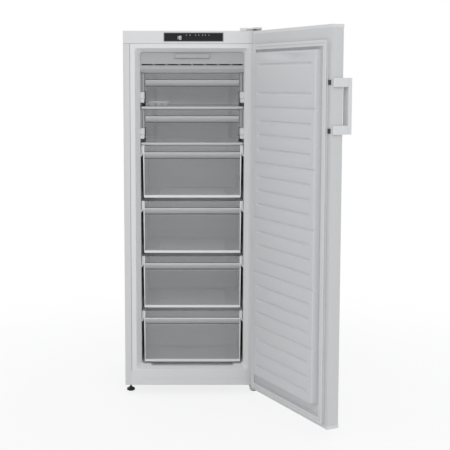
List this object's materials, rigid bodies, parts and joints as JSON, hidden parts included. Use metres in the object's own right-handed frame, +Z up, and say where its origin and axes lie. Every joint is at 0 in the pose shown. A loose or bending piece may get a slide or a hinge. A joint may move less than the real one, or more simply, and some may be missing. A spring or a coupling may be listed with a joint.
{
  "type": "upright freezer",
  "caption": "Tall slim freezer with its door swung open, clear-front drawers below flap compartments, a control strip on top, a bar handle and adjustable front feet.",
  "frame": {"origin": "middle of the whole object's footprint at floor level, with the door standing open as stored", "axes": "+Z up; -Y is the front, where the compartments open; +X is the hinge side, to the right of someone facing the front"},
  "size_m": [0.8212, 1.0534, 1.466],
  "materials": {
    "cabinet_paint": "smooth satin light grey enamel",
    "back_steel": "coated grey steel",
    "zinc_steel": "zinc-plated sheet",
    "liner_plastic": "vacuum-formed, lightly stippled",
    "trim_plastic": "moulded, fine satin",
    "foam": "rigid insulating foam",
    "clear_front": "smoky clear moulding",
    "drawer_plastic": "translucent white moulding",
    "glass": "clear tempered",
    "white_plastic": "moulded",
    "lamp_lens": "frosted",
    "display": "black tinted gloss",
    "circuit_board": "lacquered board",
    "coil_aluminium": "plain fins and tube",
    "tube_steel": "copper-coated steel tube",
    "motor_metal": "dark enamel",
    "fan_plastic": "moulded",
    "compressor_enamel": "black stove enamel",
    "grey_rubber": "soft",
    "dark_plastic": "moulded",
    "foot_plastic": "glass-filled, on a steel stud",
    "gasket": "soft magnetic seal",
    "bush_plastic": "slippery moulding",
    "handle_plastic": "satin silver-white",
    "hinge_steel": "grey coated steel",
    "screw_steel": "bright plated"
  },
  "bodies": {
    "cabinet": {"inner_liner": "liner_plastic", "side_panel_right": "cabinet_paint", "side_panel_left": "cabinet_paint", "top_panel": "cabinet_paint", "rear_panel": "back_steel", "base_pan": "zinc_steel", "machine_bay_wall": "back_steel", "bottom_trim": "trim_plastic", "condenser_coils": "tube_steel", "cabinet_foam": "foam", "control_fascia": "trim_plastic", "display_window": "display", "control_board": "circuit_board", "glass_shelves": "glass", "shelf_trims": "trim_plastic", "flap_hinge_blocks": "white_plastic", "ceiling_duct_cover": "white_plastic", "lamp_lens": "lamp_lens", "rear_duct_cover": "white_plastic", "evaporator": "coil_aluminium", "defrost_heater": "coil_aluminium", "drain_trough": "white_plastic", "fan_motor": "motor_metal", "compressor_tray": "zinc_steel", "supply_inlet": "dark_plastic", "compressor_grommets": "grey_rubber", "compressor": "compressor_enamel", "drip_tray": "dark_plastic", "refrigerant_tubes": "tube_steel", "foot_nuts": "zinc_steel", "rear_feet": "foot_plastic", "hinge_bracket_upper": "hinge_steel", "hinge_screws": "screw_steel", "hinge_bracket_lower": "hinge_steel", "hinge_cover": "trim_plastic"},
    "door": {"door_skin": "cabinet_paint", "door_liner": "liner_plastic", "door_foam": "foam", "door_bottom_cap": "trim_plastic", "door_top_cap": "trim_plastic", "door_bushes": "bush_plastic", "door_gasket": "gasket", "handle_arms": "handle_plastic", "handle_bar": "handle_plastic", "handle_screw_caps": "dark_plastic"},
    "flap_upper": {"flap_upper": "clear_front"},
    "flap_lower": {"flap_lower": "clear_front"},
    "drawer_1": {"drawer_1_tub": "drawer_plastic", "drawer_1_front": "clear_front"},
    "drawer_2": {"drawer_2_tub": "drawer_plastic", "drawer_2_front": "clear_front"},
    "drawer_3": {"drawer_3_tub": "drawer_plastic", "drawer_3_front": "clear_front"},
    "drawer_4": {"drawer_4_tub": "drawer_plastic", "drawer_4_front": "clear_front"},
    "fan": {"fan_blade": "fan_plastic"},
    "foot_left": {"foot_left": "foot_plastic"},
    "foot_right": {"foot_right": "foot_plastic"},
    "ice_tray": {"ice_tray": "white_plastic"}
  },
  "joints": [
    {"name": "door_hinge", "type": "hinge", "parent": "cabinet", "child": "door", "pos_m": [0.11841, -0.04062, 0.7], "axis": [0, 0, 1], "range_deg": [-116.5, 18.5]},
    {"name": "flap_upper_pivot", "type": "hinge", "parent": "cabinet", "child": "flap_upper", "pos_m": [-0.14059, 0.03138, 1.1835], "axis": [1, 0, 0], "range_deg": [0, 80]},
    {"name": "flap_lower_pivot", "type": "hinge", "parent": "cabinet", "child": "flap_lower", "pos_m": [-0.14059, 0.03138, 1.041], "axis": [1, 0, 0], "range_deg": [0, 80]},
    {"name": "drawer_1_slide", "type": "slide", "parent": "cabinet", "child": "drawer_1", "axis": [0, -1, 0], "range_m": [0, 0.3]},
    {"name": "drawer_2_slide", "type": "slide", "parent": "cabinet", "child": "drawer_2", "axis": [0, -1, 0], "range_m": [0, 0.3]},
    {"name": "drawer_3_slide", "type": "slide", "parent": "cabinet", "child": "drawer_3", "axis": [0, -1, 0], "range_m": [0, 0.3]},
    {"name": "drawer_4_slide", "type": "slide", "parent": "cabinet", "child": "drawer_4", "axis": [0, -1, 0], "range_m": [0, 0.18]},
    {"name": "fan_spin", "type": "hinge", "parent": "cabinet", "child": "fan", "pos_m": [-0.14059, 0.44948, 1.058], "axis": [0, 1, 0], "continuous": true},
    {"name": "foot_left_turn", "type": "hinge", "parent": "cabinet", "child": "foot_left", "pos_m": [-0.39259, 0.05268, 0], "axis": [0, 0, 1], "continuous": true},
    {"name": "foot_right_turn", "type": "hinge", "parent": "cabinet", "child": "foot_right", "pos_m": [0.11141, 0.05268, 0], "axis": [0, 0, 1], "continuous": true},
    {"name": "ice_tray_lift", "type": "slide", "parent": "cabinet", "child": "ice_tray", "axis": [0, 0, 1], "range_m": [0, 0.03]}
  ]
}
